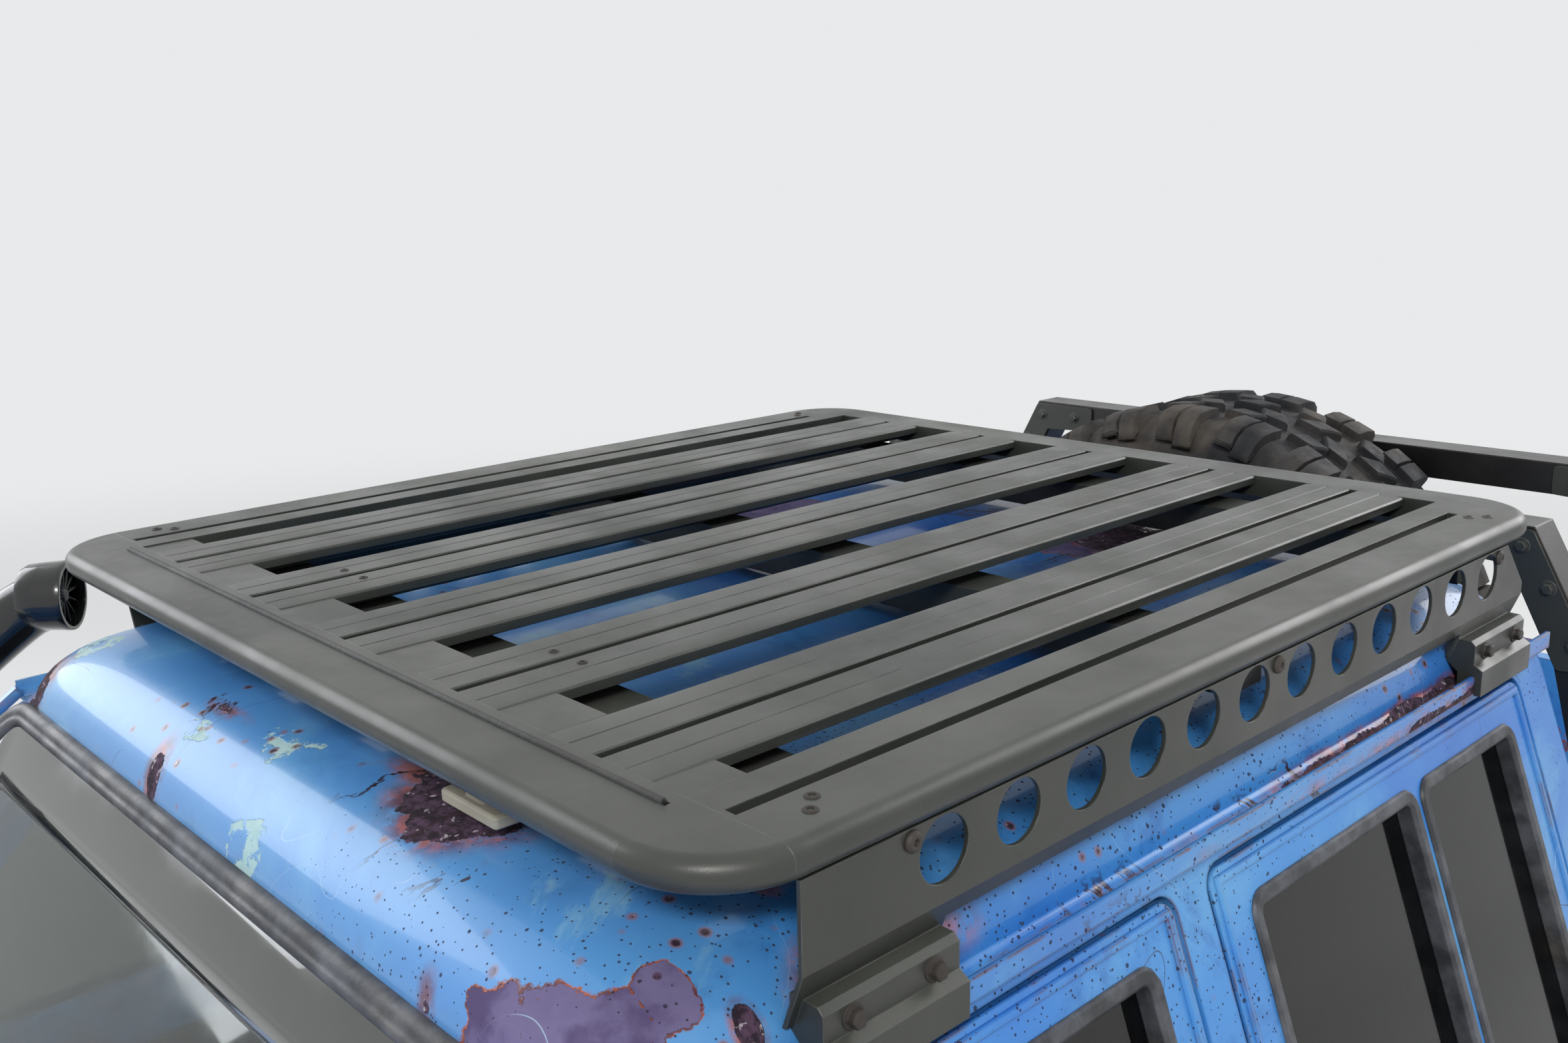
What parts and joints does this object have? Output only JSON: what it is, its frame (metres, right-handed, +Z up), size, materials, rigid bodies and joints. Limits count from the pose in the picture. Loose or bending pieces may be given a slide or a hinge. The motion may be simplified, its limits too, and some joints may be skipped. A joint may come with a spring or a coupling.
{
  "type": "lifted off-road pickup",
  "caption": "Lifted off-road double-cab pickup with roof platform, snorkel, bed rack and spare wheel; its wheels roll and steer, and doors, hood and tailgate open.",
  "frame": {"origin": "centre of the bounding box, on the ground under the tyres", "axes": "+X to the vehicle's left, -Y forward, +Z up"},
  "size_m": [2.13, 4.8805, 2.139],
  "materials": {
    "patina_paint": "worn satin",
    "black_paint": "satin",
    "powder_coat": "satin",
    "chassis_paint": "matte",
    "cast_parts": "rough",
    "spring_steel": "dull",
    "exhaust_steel": "heat stained",
    "wheel_paint": "satin",
    "tyre_rubber": "matte",
    "seal_rubber": "matte",
    "clear_glass": "smooth",
    "dark_glass": "tinted smooth",
    "black_gloss": "gloss",
    "black_plastic": "grained",
    "lamp_glass": "smooth",
    "red_lens": "gloss",
    "seat_cover": "woven"
  },
  "bodies": {
    "chassis": {"arch_flares": "black_plastic", "bed_rack": "black_paint", "cab_glass": "clear_glass", "cab_shell": "patina_paint", "dashboard": "black_plastic", "drivetrain": "cast_parts", "exhaust": "exhaust_steel", "fenders": "patina_paint", "front_axle": "chassis_paint", "front_bumper": "black_paint", "fuel_tank": "chassis_paint", "grille_panel": "patina_paint", "headlamps": "lamp_glass", "ladder_frame": "chassis_paint", "leaf_springs": "spring_steel", "load_bed": "patina_paint", "rack_cross_bars": "powder_coat", "rack_front_rail": "powder_coat", "rack_planks": "powder_coat", "rack_rear_rail": "powder_coat", "rack_side_plates": "powder_coat", "rack_side_rails": "powder_coat", "radiator": "black_paint", "rear_axle": "chassis_paint", "rear_bumper": "black_paint", "rim_spare": "wheel_paint", "seats": "seat_cover", "shock_absorbers": "black_gloss", "snorkel": "black_gloss", "tail_lamps": "red_lens", "tyre_spare": "tyre_rubber", "windscreen_seal": "seal_rubber"},
    "knuckle_left": {"knuckle_left": "cast_parts"},
    "knuckle_right": {"knuckle_right": "cast_parts"},
    "tie_rod": {"tie_rod": "spring_steel"},
    "hood": {"hood": "patina_paint"},
    "tailgate": {"tailgate": "patina_paint"},
    "wheel_front_left": {"tyre_front_left": "tyre_rubber", "rim_front_left": "wheel_paint"},
    "door_front_left": {"door_front_left": "patina_paint", "glass_front_left": "dark_glass"},
    "wheel_front_right": {"tyre_front_right": "tyre_rubber", "rim_front_right": "wheel_paint"},
    "door_front_right": {"door_front_right": "patina_paint", "glass_front_right": "dark_glass"},
    "wheel_rear_left": {"tyre_rear_left": "tyre_rubber", "rim_rear_left": "wheel_paint"},
    "door_rear_left": {"door_rear_left": "patina_paint", "glass_rear_left": "dark_glass"},
    "wheel_rear_right": {"tyre_rear_right": "tyre_rubber", "rim_rear_right": "wheel_paint"},
    "door_rear_right": {"door_rear_right": "patina_paint", "glass_rear_right": "dark_glass"}
  },
  "joints": [
    {"name": "steer_left", "type": "hinge", "parent": "chassis", "child": "knuckle_left", "pos_m": [0.68, -1.525, 0.444], "axis": [0, 0, 1], "range_deg": [-30, 30]},
    {"name": "steer_right", "type": "hinge", "parent": "chassis", "child": "knuckle_right", "pos_m": [-0.68, -1.525, 0.444], "axis": [0, 0, 1], "range_deg": [-30, 30]},
    {"name": "tie_rod_slide", "type": "slide", "parent": "chassis", "child": "tie_rod", "axis": [1, 0, 0], "range_m": [-0.071, 0.071]},
    {"name": "spin_front_left", "type": "hinge", "parent": "knuckle_left", "child": "wheel_front_left", "pos_m": [0.79, -1.525, 0.444], "axis": [1, 0, 0], "continuous": true},
    {"name": "spin_front_right", "type": "hinge", "parent": "knuckle_right", "child": "wheel_front_right", "pos_m": [-0.79, -1.525, 0.444], "axis": [1, 0, 0], "continuous": true},
    {"name": "spin_rear_left", "type": "hinge", "parent": "chassis", "child": "wheel_rear_left", "pos_m": [0.79, 1.325, 0.444], "axis": [1, 0, 0], "continuous": true},
    {"name": "spin_rear_right", "type": "hinge", "parent": "chassis", "child": "wheel_rear_right", "pos_m": [-0.79, 1.325, 0.444], "axis": [1, 0, 0], "continuous": true},
    {"name": "door_front_left_hinge", "type": "hinge", "parent": "chassis", "child": "door_front_left", "pos_m": [0.858, -0.978, 1.1], "axis": [0, 0, -1], "range_deg": [0, 65]},
    {"name": "door_front_right_hinge", "type": "hinge", "parent": "chassis", "child": "door_front_right", "pos_m": [-0.858, -0.978, 1.1], "axis": [0, 0, 1], "range_deg": [0, 65]},
    {"name": "door_rear_left_hinge", "type": "hinge", "parent": "chassis", "child": "door_rear_left", "pos_m": [0.858, 0.002, 1.1], "axis": [0, 0, -1], "range_deg": [0, 70]},
    {"name": "door_rear_right_hinge", "type": "hinge", "parent": "chassis", "child": "door_rear_right", "pos_m": [-0.858, 0.002, 1.1], "axis": [0, 0, 1], "range_deg": [0, 70]},
    {"name": "hood_hinge", "type": "hinge", "parent": "chassis", "child": "hood", "pos_m": [0, -1.016, 1.462], "axis": [-1, 0, 0], "range_deg": [0, 55]},
    {"name": "tailgate_hinge", "type": "hinge", "parent": "chassis", "child": "tailgate", "pos_m": [0, 2.34, 0.928], "axis": [-1, 0, 0], "range_deg": [0, 90]}
  ],
  "couplings": [
    {"joint": "steer_right", "follows": "steer_left", "ratio": 1},
    {"joint": "tie_rod_slide", "follows": "steer_left", "m_per_rad": 0.135}
  ]
}
